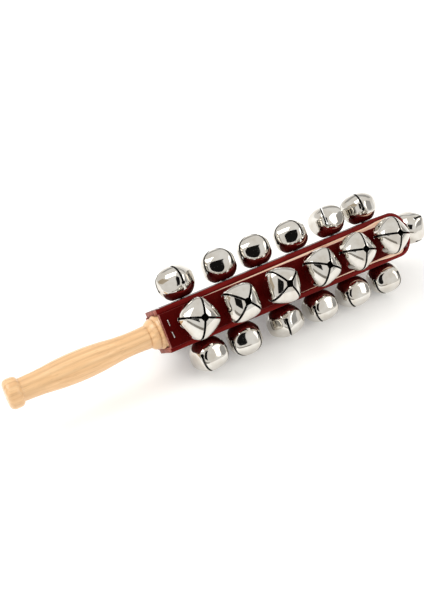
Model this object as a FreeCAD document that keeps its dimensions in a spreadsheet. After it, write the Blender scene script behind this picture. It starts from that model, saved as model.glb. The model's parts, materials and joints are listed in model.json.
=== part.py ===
"""Sleigh bells: a turned wooden handle with a square wooden core, two leather
straps wrapped lengthways round the core, and round steel bells riveted along
the four straps' legs and on the tip.

The stick is drawn along X from its butt, with the front row of bells facing
+Z and the top row facing +Y.  The finished part is then turned 45 degrees
about X, so that it lies on its two lower rows of bells, with +Z up and the
tip at +X.
"""
import FreeCAD, Part
import math
import os

import Sketcher
from FreeCAD import Vector

# name: (millimetres unless it says otherwise, what it is)
SIZES = {
    # turned handle, measured from the butt
    "knob_flat_radius": (6.6, "flat of the butt"),
    "knob_radius": (9.0, "widest part of the end knob"),
    "knob_start": (3.2, "where the knob reaches its full radius"),
    "knob_end": (5.6, "where the knob starts to fall to the neck"),
    "knob_round": (3.2, "rounding of the knob's two edges"),
    "neck_start": (8.6, "bottom of the neck behind the knob"),
    "neck_radius": (6.8, "radius of the neck"),
    "neck_end": (13.0, "where the neck starts to swell"),
    "neck_end_radius": (7.0, "radius there"),
    "neck_bend": (117.0, "hollow curve from the neck"),
    "belly_start": (24.9, "where the belly's round curve starts"),
    "belly_edge_radius": (7.9, "radius at both ends of the belly"),
    "belly_bend": (150.8, "round curve of the belly"),
    "belly_end": (62.4, "where the belly's round curve ends"),
    "waist_bend": (124.0, "hollow curve of the waist"),
    "waist_end": (87.0, "end of the waist, at the first turned line"),
    "waist_end_radius": (7.35, "radius there"),
    "line_width": (0.8, "width of each turned line"),
    "line_depth": (0.5, "depth of each turned line"),
    "bead_radius": (9.9, "collar's first bead at its big end"),
    "bead_end": (92.3, "collar's second turned line"),
    "bead_bend": (7.0, "rounding of the collar's first bead"),
    "collar_radius": (10.9, "collar where it meets the square core"),
    "collar_bend": (3.5, "rounding of the collar's second bead"),
    # square core, tapering outwards to the tip
    "core_start": (95.3, "start of the square core"),
    "core_end": (289.5, "tip end of the core"),
    "core_half": (11.2, "half the core's width at its start"),
    "core_slope": (0.014, "growth of the half width for each millimetre"),
    "shoulder_length": (4.5, "length of the turned shoulder on the square's corners"),
    "shoulder_radius": (15.9, "radius where the shoulder leaves the corners"),
    "tip_round": (11.6, "rounding of the core's tip edges under the straps"),
    "pocket_radius": (3.6, "pocket in the core under each rivet"),
    "pocket_floor": (9.5, "distance of the pocket floors from the stick's axis"),
    "tip_pocket_depth": (2.2, "depth of the pocket in the tip"),
    # leather straps
    "strap_start": (95.0, "cut ends of the straps"),
    "strap_width": (21.0, "width of the straps"),
    "strap_thickness": (2.5, "thickness of the leather"),
    "strap_bend": (11.0, "inside of the straps' bends round the tip"),
    "rivet_hole_radius": (1.75, "holes in the straps"),
    # staples at the cut ends
    "staple_place": (98.9, "staples' distance from the butt"),
    "staple_spacing": (7.6, "distance between the two staples of a strap end"),
    "staple_crown": (4.4, "length of a staple's crown"),
    "staple_wire": (0.7, "staple wire"),
    "staple_leg": (6.0, "length of a staple's leg"),
    "staple_proud": (0.5, "crown above the leather"),
    # rows of bells
    "bell_pitch": (30.0, "distance between bells"),
    "first_bell": (113.8, "first bell of the front and back rows"),
    "row_shift": (5.0, "how much nearer the tip the top and bottom rows are"),
    # one bell, measured from the leather it stands on
    "bell_radius": (12.7, "radius of the round cup and of the corners"),
    "bell_half_flat": (11.3, "half the width over the flats"),
    "bell_base": (0.4, "gap between the bell and the leather"),
    "equator": (11.6, "height of the widest part"),
    "spring_line": (12.5, "height where the petals start to bend"),
    "petal_bend": (7.0, "rounding of the petals' shoulders"),
    "pole": (22.0, "height of the top of the bell"),
    "sheet_metal": (0.8, "wall of the bell"),
    "slit": (1.0, "width of the crossed slits"),
    "slit_end": (9.0, "height of the lower ends of the slits"),
    "slit_hole_radius": (1.1, "round hole at each end of a slit"),
    "pole_hole": (3.0, "side of the square hole where the slits cross"),
    "swivel_gap": (0.1, "play between a bell and its rivet"),
    "pellet_radius": (3.5, "steel ball in each bell"),
    "pellet_gap": (0.25, "play under the ball"),
    # rivets
    "rivet_radius": (1.6, "rivet shank"),
    "rivet_head_radius": (3.2, "head inside the bell"),
    "rivet_head": (1.2, "thickness of the head"),
    "head_gap": (0.3, "gap between the head and the bell"),
    "clinch_radius": (2.8, "clinched end under the leather"),
    "clinch": (1.2, "thickness of the clinched end"),
    # where the finished part stands; measured below from the finished shapes
    "centre_along": (0.0, "middle of the part, from the butt"),
    "centre_across": (0.0, "middle of the part, across"),
    "stand_height": (0.0, "height of the stick's axis above the table"),
}

# How each row faces (degrees about the stick), and for each of its bells from
# the handle to the tip: its turn on its rivet (degrees), and how far its rivet
# was set off its even place, along the row and across it (millimetres).
ROWS = {
    "front": (0, ((25, -0.5, 0.0), (2, -1.5, -1.0), (75, -1.0, -1.0),
                  (16, 0.5, 0.0), (30, 0.5, 0.5), (30, 1.0, 1.5))),
    "top": (-90, ((46, -1.5, 0.0), (69, 0.5, 0.5), (65, -2.0, 0.0),
                  (54, -2.0, -0.5), (7, 0.5, 0.5), (22, -0.5, 0.0))),
    "back": (180, ((15, 0.5, 0.5), (68, -1.0, 0.0), (36, 1.0, -1.0),
                   (80, 0.0, 0.5), (5, -1.5, 0.0), (50, 0.5, -0.5))),
    "bottom": (90, ((86, 2.0, 0.0), (18, -1.5, 0.5), (69, 1.5, -0.5),
                    (4, 0.5, 0.0), (8, -0.5, 0.5), (23, -1.0, 0.0))),
}
# The plane through the stick's axis that each row faces away from, and the side.
ROW_PLANES = {
    "front": ("XY_Plane", 1),
    "top": ("XZ_Plane", -1),
    "back": ("XY_Plane", -1),
    "bottom": ("XZ_Plane", 1),
}
# The tip bell's turn on its rivet, and the roll that lays the stick on its two
# lower rows (degrees).
TIP_TURN = 20
LEAN = 45
# Heights of the edges between a bell's turned bands, as shares of its radius
# above or below its equator.
BANDS = (-0.76, -0.545, -0.284, 0.0, 0.284, 0.545, 0.76)


class Dim:
    """A number together with the spreadsheet expression that gives it."""

    def __init__(self, value, text):
        self.value = value
        self.text = text

    def __add__(self, other):
        other = dim(other)
        return Dim(self.value + other.value, f"({self.text} + {other.text})")

    def __sub__(self, other):
        other = dim(other)
        return Dim(self.value - other.value, f"({self.text} - {other.text})")

    def __mul__(self, other):
        other = dim(other)
        return Dim(self.value * other.value, f"({self.text} * {other.text})")

    def __truediv__(self, other):
        other = dim(other)
        return Dim(self.value / other.value, f"({self.text} / {other.text})")

    def __neg__(self):
        return Dim(-self.value, f"(-{self.text})")


def dim(number):
    return number if isinstance(number, Dim) else Dim(number, f"({number})")


def square_root(number):
    return Dim(math.sqrt(number.value), f"sqrt({number.text})")


def slope_angle(slope):
    return Dim(math.degrees(math.atan(slope.value)), f"atan({slope.text})")


class Sizes:
    """The spreadsheet's cells by name, each as a Dim."""


doc = FreeCAD.newDocument("SleighBells")
sheet = doc.addObject("Spreadsheet::Sheet", "Sizes")
S = Sizes()
for line, (name, (number, meaning)) in enumerate(SIZES.items(), start=1):
    sheet.set(f"A{line}", meaning)
    sheet.set(f"B{line}", str(number))
    sheet.setAlias(f"B{line}", name)
    setattr(S, name, Dim(number, f"Sizes.{name}"))
doc.recompute()

ZERO = dim(0)
COS = dim(1) / square_root(dim(1) + S.core_slope * S.core_slope)
SIN = S.core_slope * COS
LEATHER = S.strap_thickness / COS


def core_half_at(along):
    """Half the core's width at a distance from the butt."""
    return S.core_half + S.core_slope * (along - S.core_start)


# ---------------------------------------------------------------- placements

def place(x=ZERO, y=ZERO, z=ZERO, axis="0;0;1", angle=ZERO):
    """Expression for a move and a turn, angle in degrees."""
    return (f"placement(vector({dim(x).text}; {dim(y).text}; {dim(z).text}); "
            f"rotation(vector({axis}); {dim(angle).text}))")


STAND = (place(-S.centre_along, -S.centre_across, S.stand_height)
         + " * " + place(axis="1;0;0", angle=dim(LEAN)))
# On a row's leather: X along the row, Z straight out of the leather.
LEATHER_AT_BUTT = core_half_at(ZERO) + LEATHER
TIP_FACE = S.core_end + S.strap_thickness * 2
TIP_FRAME = STAND + " * " + place(x=TIP_FACE, axis="0;1;0", angle=dim(90))


def row_frame(row):
    facing = ROWS[row][0]
    return (STAND + " * " + place(axis="1;0;0", angle=dim(facing))
            + " * " + place(z=LEATHER_AT_BUTT, axis="0;1;0", angle=-slope_angle(S.core_slope)))


def rivet_places(row):
    """Where the rivets of a row are, along it and across it."""
    first = S.first_bell + (S.row_shift if row in ("top", "bottom") else ZERO)
    return [(first + S.bell_pitch * dim(number) + dim(along), dim(across))
            for number, (_, along, across) in enumerate(ROWS[row][1])]


# ------------------------------------------------------------------ sketches

def origin_feature(body, role):
    return next(f for f in body.Origin.OriginFeatures if f.Role == role)


def body_sketch(body, name, plane, offset=None):
    sketch = body.newObject("Sketcher::SketchObject", name)
    sketch.AttachmentSupport = (origin_feature(body, plane), [""])
    sketch.MapMode = "FlatFace"
    if offset is not None:
        sketch.setExpression("AttachmentOffset.Base.z", offset.text)
    return sketch


def fix_point(sketch, geometry, end, point):
    """Hold one end of a line or arc (or a centre) at its distances from the origin."""
    for kind, distance in zip(("DistanceX", "DistanceY"), point):
        index = sketch.addConstraint(Sketcher.Constraint(kind, -1, 1, geometry, end, distance.value))
        sketch.setExpression(f"Constraints[{index}]", distance.text)


def fix_radius(sketch, geometry, radius):
    index = sketch.addConstraint(Sketcher.Constraint("Radius", geometry, radius.value))
    sketch.setExpression(f"Constraints[{index}]", radius.text)


def draw_circle(sketch, centre, radius):
    at = Vector(centre[0].value, centre[1].value, 0)
    geometry = sketch.addGeometry(Part.Circle(at, Vector(0, 0, 1), radius.value))
    fix_point(sketch, geometry, 3, centre)
    fix_radius(sketch, geometry, radius)


def arc_between(start, end, radius, left):
    """Arc from start to end with its centre on the left or right of the way."""
    middle = (start + end) * 0.5
    half = (end - start) * 0.5
    rise = math.sqrt(max(radius ** 2 - half.Length ** 2, 0.0))
    across = Vector(-half.y, half.x, 0).normalize() * (rise if left else -rise)
    centre = middle + across
    first, last = (start, end) if left else (end, start)
    angles = [math.atan2(p.y - centre.y, p.x - centre.x) for p in (first, last)]
    return Part.ArcOfCircle(Part.Circle(centre, Vector(0, 0, 1), radius), *angles)


def draw_outline(sketch, steps):
    """Closed outline.  Each step is (x, y) or (x, y, radius): the edge that leaves
    the point is straight, or an arc that turns left (radius over 0) or right."""
    points = [(dim(step[0]), dim(step[1])) for step in steps]
    flat = [Vector(x.value, y.value, 0) for x, y in points]
    first_geometry = sketch.GeometryCount
    starts, ends = [], []
    for index, step in enumerate(steps):
        begin, finish = flat[index], flat[(index + 1) % len(flat)]
        if len(step) == 2:
            sketch.addGeometry(Part.LineSegment(begin, finish))
            starts.append(1)
            ends.append(2)
        else:
            left = step[2].value > 0
            sketch.addGeometry(arc_between(begin, finish, abs(step[2].value), left))
            starts.append(1 if left else 2)
            ends.append(2 if left else 1)
    for index, step in enumerate(steps):
        here = first_geometry + index
        before = first_geometry + (index - 1) % len(steps)
        sketch.addConstraint(Sketcher.Constraint("Coincident", before, ends[index - 1], here, starts[index]))
        fix_point(sketch, here, starts[index], points[index])
        if len(step) == 3:
            fix_radius(sketch, here, step[2] if step[2].value > 0 else -step[2])


# ------------------------------------------------------------ body features

def new_body(label):
    body = doc.addObject("PartDesign::Body", label)
    body.Label = label
    body.AllowCompound = True
    return body


def cut_through(body, sketch):
    """Pocket right through the body, both ways from the sketch."""
    pocket = body.newObject("PartDesign::Pocket", sketch.Name + "_cut")
    pocket.Profile = sketch
    pocket.Type = "ThroughAll"
    pocket.Midplane = True
    doc.recompute()
    return pocket


def cut_outwards(body, sketch, reverse):
    """Pocket from the sketch out through the nearer side of the body."""
    pocket = body.newObject("PartDesign::Pocket", sketch.Name + "_cut")
    pocket.Profile = sketch
    pocket.Type = "ThroughAll"
    pocket.Reversed = reverse
    doc.recompute()
    return pocket


def cut_row(body, row, radius, depth):
    """Holes at a row's rivets, from a depth (measured from the axis) outwards."""
    plane, side = ROW_PLANES[row]
    holes = body_sketch(body, f"{row}_holes", plane, depth * dim(side))
    for along, across in rivet_places(row):
        draw_circle(holes, (along, across * dim(side)), radius)
    body.Tip = cut_outwards(body, holes, side > 0)


# ------------------------------- pieces made in one place and repeated in many

def loose_sketch(name, plane):
    """A sketch of its own on the XZ or YZ plane, with Z upwards in it."""
    sketch = doc.addObject("Sketcher::SketchObject", name)
    turn = FreeCAD.Rotation(Vector(1, 0, 0), 90)
    if plane == "YZ":
        turn = FreeCAD.Rotation(Vector(0, 0, 1), 90) * turn
    sketch.Placement = FreeCAD.Placement(Vector(), turn)
    return sketch


def turned_form(name, half):
    """Solid turned about Z from its half outline."""
    form = doc.addObject("Part::Revolution", name)
    form.Source = half
    form.Axis = Vector(0, 0, 1)
    form.Angle = 360
    form.Solid = True
    return form


def group(label, pieces, frame):
    """One node made of the given pieces."""
    node = doc.addObject("Part::Compound", label)
    node.Label = label
    node.Links = pieces
    node.setExpression("Placement", frame)
    return node


def copy_of(label, piece, frame):
    return group(label, [piece], frame)


# ---------------------------------------------------------- handle and core

def make_handle():
    body = new_body("handle_core")
    line_side = S.line_width / dim(2)
    waist_line = S.waist_end + line_side
    collar_line = S.bead_end + line_side
    turned = body_sketch(body, "handle_outline", "XZ_Plane")
    draw_outline(turned, [
        (ZERO, ZERO),
        (ZERO, S.knob_flat_radius, -S.knob_round),
        (S.knob_start, S.knob_radius),
        (S.knob_end, S.knob_radius, -S.knob_round),
        (S.neck_start, S.neck_radius),
        (S.neck_end, S.neck_end_radius, S.neck_bend),
        (S.belly_start, S.belly_edge_radius, -S.belly_bend),
        (S.belly_end, S.belly_edge_radius, S.waist_bend),
        (S.waist_end, S.waist_end_radius),
        (waist_line, S.waist_end_radius - S.line_depth),
        (waist_line + line_side, S.waist_end_radius, -S.bead_bend),
        (S.bead_end, S.bead_radius),
        (collar_line, S.bead_radius - S.line_depth),
        (collar_line + line_side, S.bead_radius, -S.collar_bend),
        (S.core_start, S.collar_radius),
        (S.core_start, ZERO),
    ])
    handle = body.newObject("PartDesign::Revolution", "handle_turned")
    handle.Profile = turned
    handle.ReferenceAxis = (turned, ["H_Axis"])
    handle.Angle = 360

    half = S.core_half
    square = body_sketch(body, "core_square", "YZ_Plane", S.core_start)
    draw_outline(square, [(-half, -half), (half, -half), (half, half), (-half, half)])
    core = body.newObject("PartDesign::Pad", "core")
    core.Profile = square
    core.setExpression("Length", (S.core_end - S.core_start).text)
    core.setExpression("TaperAngle", slope_angle(S.core_slope).text)
    doc.recompute()

    tip_edges = [f"Edge{number}" for number, edge in enumerate(core.Shape.Edges, start=1)
                 if min(v.X for v in edge.Vertexes) > S.core_end.value - 0.01]
    rounded = body.newObject("PartDesign::Fillet", "tip_rounding")
    rounded.Base = (core, tip_edges)
    rounded.setExpression("Radius", S.tip_round.text)
    body.Tip = rounded
    doc.recompute()

    corner = body_sketch(body, "shoulder_outline", "XZ_Plane")
    outside = core_half_at(S.core_end) * dim(2)
    draw_outline(corner, [
        (S.core_start, S.collar_radius),
        (S.core_start + S.shoulder_length, S.shoulder_radius),
        (S.core_start + S.shoulder_length, outside),
        (S.core_start - dim(1), outside),
        (S.core_start - dim(1), S.collar_radius),
    ])
    shoulder = body.newObject("PartDesign::Groove", "shoulder")
    shoulder.Profile = corner
    shoulder.ReferenceAxis = (corner, ["H_Axis"])
    shoulder.Angle = 360
    doc.recompute()

    for row in ROWS:
        cut_row(body, row, S.pocket_radius, S.pocket_floor)
    tip_floor = body_sketch(body, "tip_pocket", "YZ_Plane", S.core_end - S.tip_pocket_depth)
    draw_circle(tip_floor, (ZERO, ZERO), S.pocket_radius)
    body.Tip = cut_outwards(body, tip_floor, True)
    return body


# -------------------------------------------------------------------- straps

def tip_rounding(end, bend):
    """Centre of a bend between the core's side and an end face, and where it
    meets the side."""
    centre_x = end - bend
    centre_y = core_half_at(centre_x) - bend / COS
    return centre_x, centre_y, (centre_x - bend * SIN, centre_y + bend * COS)


def make_strap(label, plane, rows, inner_end):
    """One strap: up one side of the core, round the tip and back down the other."""
    body = new_body(label)
    start, thick, bend = S.strap_start, S.strap_thickness, S.strap_bend
    under = core_half_at(start)
    bend_x, bend_y, inner_touch = tip_rounding(inner_end, bend)
    outer_touch = (bend_x - (bend + thick) * SIN, bend_y + (bend + thick) * COS)
    side = body_sketch(body, label + "_side", plane)
    draw_outline(side, [
        (start, under),
        (*inner_touch, -bend),
        (inner_end, bend_y),
        (inner_end, -bend_y, -bend),
        (inner_touch[0], -inner_touch[1]),
        (start, -under),
        (start, -(under + LEATHER)),
        (outer_touch[0], -outer_touch[1], bend + thick),
        (inner_end + thick, -bend_y),
        (inner_end + thick, bend_y, bend + thick),
        outer_touch,
        (start, under + LEATHER),
    ])
    band = body.newObject("PartDesign::Pad", label + "_band")
    band.Profile = side
    band.Midplane = True
    band.setExpression("Length", S.strap_width.text)
    doc.recompute()

    for row in rows:
        cut_row(body, row, S.rivet_hole_radius, ZERO)
    tip_hole = body_sketch(body, label + "_tip_hole", "YZ_Plane")
    draw_circle(tip_hole, (ZERO, ZERO), S.rivet_hole_radius)
    body.Tip = cut_through(body, tip_hole)
    return body


def pare_strap(body):
    """Thin the inner strap's edges at the tip, where the outer strap bends over them."""
    end = S.core_end + S.strap_thickness
    _, bend_y, touch = tip_rounding(end, S.tip_round)
    pared = body_sketch(body, "pared_edges", "XY_Plane")
    for side in (1, -1):
        draw_outline(pared, [
            (touch[0], touch[1] * dim(side), S.tip_round * dim(-side)),
            (end, bend_y * dim(side)),
            (end + S.strap_thickness, bend_y * dim(side)),
            (end + S.strap_thickness, S.strap_width * dim(side)),
            (touch[0], S.strap_width * dim(side)),
        ])
    body.Tip = cut_through(body, pared)


# ------------------------------------------------------- staples and rivets

def make_staples():
    """Two staples through each cut strap end, the same on all four sides."""
    body = new_body("staples")
    top = core_half_at(S.staple_place) + LEATHER + S.staple_proud
    bottom = top - S.staple_leg
    under = top - S.staple_wire
    pair = []
    for name, side in (("left", -1), ("right", 1)):
        face = body_sketch(body, f"{name}_staple", "YZ_Plane", S.staple_place)
        middle = dim(side) * S.staple_spacing / dim(2)
        near = middle - S.staple_crown / dim(2)
        far = middle + S.staple_crown / dim(2)
        draw_outline(face, [
            (near, bottom),
            (near + S.staple_wire, bottom),
            (near + S.staple_wire, under),
            (far - S.staple_wire, under),
            (far - S.staple_wire, bottom),
            (far, bottom),
            (far, top),
            (near, top),
        ])
        wire = body.newObject("PartDesign::Pad", f"{name}_staple_wire")
        wire.Profile = face
        wire.Midplane = True
        wire.setExpression("Length", S.staple_wire.text)
        doc.recompute()
        pair.append(wire)
    sides = body.newObject("PartDesign::PolarPattern", "staples_on_all_sides")
    sides.Originals = pair
    sides.Axis = (face, ["N_Axis"])
    sides.Angle = 360
    sides.Occurrences = len(ROWS)
    body.Tip = sides
    doc.recompute()
    return body


def rivet_form(name, leather):
    """A rivet with its head inside the bell and its end clinched under the leather."""
    head_under = S.bell_base + S.sheet_metal + S.head_gap
    half = loose_sketch(name + "_half", "XZ")
    draw_outline(half, [
        (ZERO, -(leather + S.clinch)),
        (S.clinch_radius, -(leather + S.clinch)),
        (S.clinch_radius, -leather),
        (S.rivet_radius, -leather),
        (S.rivet_radius, head_under),
        (S.rivet_head_radius, head_under),
        (S.rivet_radius, head_under + S.rivet_head),
        (ZERO, head_under + S.rivet_head),
    ])
    return turned_form(name, half)


def make_rivets(row, rivet):
    """The rivets of one row."""
    label = f"rivets_{row}"
    copies = [copy_of(f"{label}_{number}", rivet, place(*where))
              for number, where in enumerate(rivet_places(row), start=1)]
    return group(label, copies, row_frame(row))


# --------------------------------------------------------------------- bells

def petal_arch(inset):
    """Half width, shoulder radius, crown radius and height of the crown's centre of
    the arch that two opposite petals follow."""
    half_flat = S.bell_half_flat - inset
    shoulder = S.petal_bend - inset
    pole = S.pole - inset
    rise = pole - S.spring_line
    reach = half_flat - shoulder
    crown = (reach * reach + rise * rise - shoulder * shoulder) / (dim(2) * (rise - shoulder))
    return half_flat, shoulder, crown, pole - crown


def bell_form(name, inset):
    """Solid form of a bell, drawn in all round by the inset: a ball turned in
    narrow bands, crossed by two arches that give it four flat petals."""
    radius = S.bell_radius - inset
    bottom = S.bell_base + inset
    below = S.equator - bottom
    outline = [(ZERO, bottom), (square_root(radius * radius - below * below), bottom)]
    for share in BANDS:
        outline.append((radius * dim(math.sqrt(1 - share ** 2)), S.equator + radius * dim(share)))
    outline.append((ZERO, outline[-1][1]))
    round_half = loose_sketch(name + "_round_half", "XZ")
    draw_outline(round_half, outline)
    round_form = turned_form(name + "_round", round_half)

    half_flat, shoulder, crown, crown_centre = petal_arch(inset)
    share = crown / (crown - shoulder)
    crown_edge = (share * (half_flat - shoulder),
                  crown_centre + share * (S.spring_line - crown_centre))
    arches = []
    for plane, across in (("XZ", Vector(0, 1, 0)), ("YZ", Vector(1, 0, 0))):
        arch = loose_sketch(f"{name}_arch_{plane}", plane)
        draw_outline(arch, [
            (-half_flat, ZERO),
            (half_flat, ZERO),
            (half_flat, S.spring_line, shoulder),
            (*crown_edge, crown),
            (-crown_edge[0], crown_edge[1], shoulder),
            (-half_flat, S.spring_line),
        ])
        tunnel = doc.addObject("Part::Extrusion", f"{name}_tunnel_{plane}")
        tunnel.Base = arch
        tunnel.DirMode = "Custom"
        tunnel.Dir = across
        tunnel.Solid = True
        tunnel.Symmetric = True
        tunnel.setExpression("LengthFwd", (S.bell_radius * dim(3)).text)
        arches.append(tunnel)
    form = doc.addObject("Part::MultiCommon", name)
    form.Shapes = [round_form, *arches]
    return form


def centred_box(name, length, width, height, bottom, turn):
    box = doc.addObject("Part::Box", name)
    box.setExpression("Length", length.text)
    box.setExpression("Width", width.text)
    box.setExpression("Height", height.text)
    box.setExpression("Placement", place(angle=dim(turn)) + " * "
                      + place(-length / dim(2), -width / dim(2), bottom))
    return box


def make_bell():
    """One bell with its crossed slits; every bell of the stick repeats it."""
    outside = bell_form("bell_outside", ZERO)
    inside = bell_form("bell_inside", S.sheet_metal)
    over = S.bell_radius * dim(2.2)
    cutters = [inside]
    for turn in (45, 135):
        cutters.append(centred_box(f"slit_{turn}", over, S.slit, S.pole, S.slit_end, turn))
        holes = doc.addObject("Part::Cylinder", f"slit_holes_{turn}")
        holes.setExpression("Radius", S.slit_hole_radius.text)
        holes.setExpression("Height", over.text)
        holes.setExpression("Placement", place(z=S.slit_end, angle=dim(turn)) + " * "
                            + place(x=-over / dim(2), axis="0;1;0", angle=dim(90)))
        cutters.append(holes)
    cutters.append(centred_box("pole_hole", S.pole_hole, S.pole_hole, S.pole, S.spring_line, 0))
    base_hole = doc.addObject("Part::Cylinder", "base_hole")
    base_hole.setExpression("Radius", (S.rivet_radius + S.swivel_gap).text)
    base_hole.setExpression("Height", S.equator.text)
    cutters.append(base_hole)
    removed = doc.addObject("Part::MultiFuse", "bell_removed")
    removed.Shapes = cutters
    bell = doc.addObject("Part::Cut", "bell_pattern")
    bell.Base = outside
    bell.Tool = removed
    doc.recompute()
    return bell


# ------------------------------------------------------------------- pellets

def pellet_rest(row):
    """Where the ball lies in a bell, across and out of the leather.  A row that
    faces upwards holds it in the cup, one that faces down in the petals."""
    gap = S.pellet_radius + S.pellet_gap
    slant = dim(1) / square_root(dim(2))
    facing = math.radians(LEAN + ROWS[row][0])
    side = dim(-1 if math.sin(facing) > 0 else 1)
    if math.cos(facing) > 0:
        drop = (S.bell_radius - S.sheet_metal - gap) * slant
        return side * drop, S.equator - drop
    _, _, crown, crown_centre = petal_arch(S.sheet_metal)
    rise = (crown - gap) * slant
    return side * rise, crown_centre + rise


def make_pellet(label, frame):
    ball = doc.addObject("Part::Sphere", label)
    ball.Label = label
    ball.setExpression("Radius", S.pellet_radius.text)
    ball.setExpression("Placement", frame)
    return ball


# ------------------------------------------------------------------ assembly

def make_rows(bell):
    rivet = rivet_form("rivet_pattern", S.strap_thickness)
    pieces = []
    for row, (_, bells) in ROWS.items():
        pieces.append(make_rivets(row, rivet))
        side, height = pellet_rest(row)
        for number, (along, across) in enumerate(rivet_places(row), start=1):
            turn = dim(bells[number - 1][0])
            pieces.append(copy_of(f"bell_{row}_{number}", bell,
                                  row_frame(row) + " * " + place(along, across, angle=turn)))
            pieces.append(make_pellet(f"pellet_{row}_{number}",
                                      row_frame(row) + " * " + place(along, across + side, height)))
    return pieces


def make_tip(bell):
    rivet = copy_of("rivet_tip", rivet_form("tip_rivet_pattern", S.strap_thickness * dim(2)), TIP_FRAME)
    tip_bell = copy_of("bell_tip", bell, TIP_FRAME + " * " + place(angle=dim(TIP_TURN)))
    drop = ((S.bell_half_flat - S.sheet_metal - S.pellet_radius - S.pellet_gap)
            / square_root(dim(2)))
    pellet = make_pellet("pellet_tip",
                         STAND + " * " + place(TIP_FACE + S.equator, -drop, -drop))
    return [rivet, tip_bell, pellet]


def check(pieces):
    for item in doc.Objects:
        bad = {"Invalid", "Error"} & set(item.State)
        if bad:
            raise RuntimeError(f"{item.Name}: {item.State}")
    for piece in pieces:
        if piece.Shape.isNull() or not piece.Shape.isValid() or not piece.Shape.Solids:
            raise RuntimeError(f"{piece.Label} has no valid shape")


def stand_on_table(pieces):
    """Put the middle of the part over the origin and its lowest bells on z = 0."""
    whole = FreeCAD.BoundBox()
    for piece in pieces:
        whole.add(piece.Shape.optimalBoundingBox(False))
    for name, number in (("centre_along", whole.Center.x),
                         ("centre_across", whole.Center.y),
                         ("stand_height", -whole.ZMin)):
        sheet.set(sheet.getCellFromAlias(name), repr(number))
    doc.recompute()
    return whole


def main():
    wood = make_handle()
    front_back = make_strap("strap_front_back", "XZ_Plane", ("front", "back"), S.core_end)
    pare_strap(front_back)
    top_bottom = make_strap("strap_top_bottom", "XY_Plane", ("top", "bottom"),
                            S.core_end + S.strap_thickness)
    staples = make_staples()
    stick = [wood, front_back, top_bottom, staples]
    for piece in stick:
        piece.setExpression("Placement", STAND)
    bell = make_bell()
    pieces = stick + make_rows(bell) + make_tip(bell)
    doc.recompute()
    check(pieces)
    stand_on_table(pieces)
    check(pieces)
    os.makedirs("parts", exist_ok=True)
    for piece in pieces:
        piece.Shape.exportStep(f"parts/{piece.Label}.step")
    print(len(pieces), "pieces")


main()
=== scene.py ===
"""Looks of the sleigh bells: a turned wooden stick wrapped in two leather straps,
with 25 plated steel bells.  Lengths in the tables are millimetres; the scene is
in metres.  The stick's own frame has X from the butt to the tip, the front row
of bells on +Z and the top row on +Y.
"""

import json
import math

import bmesh
import bpy
import numpy as np
from mathutils import Matrix, Vector


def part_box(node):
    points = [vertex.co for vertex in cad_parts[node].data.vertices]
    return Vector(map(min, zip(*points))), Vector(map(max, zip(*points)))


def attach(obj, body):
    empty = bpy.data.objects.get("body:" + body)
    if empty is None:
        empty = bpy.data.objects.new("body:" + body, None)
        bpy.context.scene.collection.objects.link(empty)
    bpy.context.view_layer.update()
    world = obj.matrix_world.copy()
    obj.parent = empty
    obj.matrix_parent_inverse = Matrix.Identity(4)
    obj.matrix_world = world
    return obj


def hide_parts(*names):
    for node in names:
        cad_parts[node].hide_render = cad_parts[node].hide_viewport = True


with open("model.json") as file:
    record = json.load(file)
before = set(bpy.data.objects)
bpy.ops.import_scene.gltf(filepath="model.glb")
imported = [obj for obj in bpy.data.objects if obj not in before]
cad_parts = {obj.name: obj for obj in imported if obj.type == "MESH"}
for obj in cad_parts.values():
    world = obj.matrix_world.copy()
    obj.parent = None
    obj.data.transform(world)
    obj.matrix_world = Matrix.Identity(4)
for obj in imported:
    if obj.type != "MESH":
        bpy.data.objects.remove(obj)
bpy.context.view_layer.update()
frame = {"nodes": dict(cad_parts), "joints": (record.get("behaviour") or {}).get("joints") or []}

MM = 0.001
RNG = np.random.default_rng(25)

# ------------------------------------------------------------------ dimensions

# Turned outline from the butt: distance, radius, bend of the piece that follows
# (0 straight, below 0 bulging outwards, above 0 hollow).
TURNED = (
    (0.0, 6.6, -3.2), (3.2, 9.0, 0), (5.6, 9.0, -3.2), (8.6, 6.8, 0),
    (13.0, 7.0, 117.0), (24.9, 7.9, -150.8), (62.4, 7.9, 124.0),
    (87.0, 7.35, 0), (87.4, 6.85, 0), (87.8, 7.35, -7.0),
    (92.3, 9.9, 0), (92.7, 9.4, 0), (93.1, 9.9, -3.5), (95.3, 10.9, 0),
)
CORE_START, CORE_END = 95.3, 289.5
CORE_HALF, CORE_SLOPE = 11.2, 0.014
CORE_TIP_ROUND = 11.6
# Exponents of the core's section: a higher one has sharper corners.
CORE_SQUARENESS, SHOULDER_BLEND = 34, 28.0
# How far the straps' legs are pressed into the wood, and where that ends at the tip.
STRAP_SUNK, SUNK_END, SUNK_FADE = 1.0, 272.0, 15.0
SHOULDER_LENGTH, SHOULDER_RADIUS = 4.5, 15.9

STRAP_START, STRAP_THICKNESS, STRAP_BEND = 95.0, 2.5, 11.0
STRAP_SOFT_EDGE = 0.55
# Dents in the leather round a rivet and round a staple: depth, reach.
RIVET_DENT, STAPLE_DENT = (0.35, 4.2), (0.30, 0.9)
# The straps' edges, from the stick's axis: each is laid a little off the middle.
STRAP_EDGES = {"strap_front_back": (-11.1, 10.45), "strap_top_bottom": (-10.6, 10.7)}
STAPLE_PLACE, STAPLE_SPACING, STAPLE_CROWN = 98.9, 7.6, 4.4
STAPLE_WIRE, STAPLE_LEG, STAPLE_PROUD, STAPLE_CORNER = 0.7, 5.0, 0.42, 0.75

# Each bell's turn on its rivet, in degrees from the row's own direction.
BELL_TURNS = {
    "front": (25, 2, 75, 16, 30, 30),
    "top": (46, 69, 65, 54, 7, 22),
    "back": (15, 68, 36, 80, 5, 50),
    "bottom": (86, 18, 69, 4, 8, 23),
    "tip": (20,),
}
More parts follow.
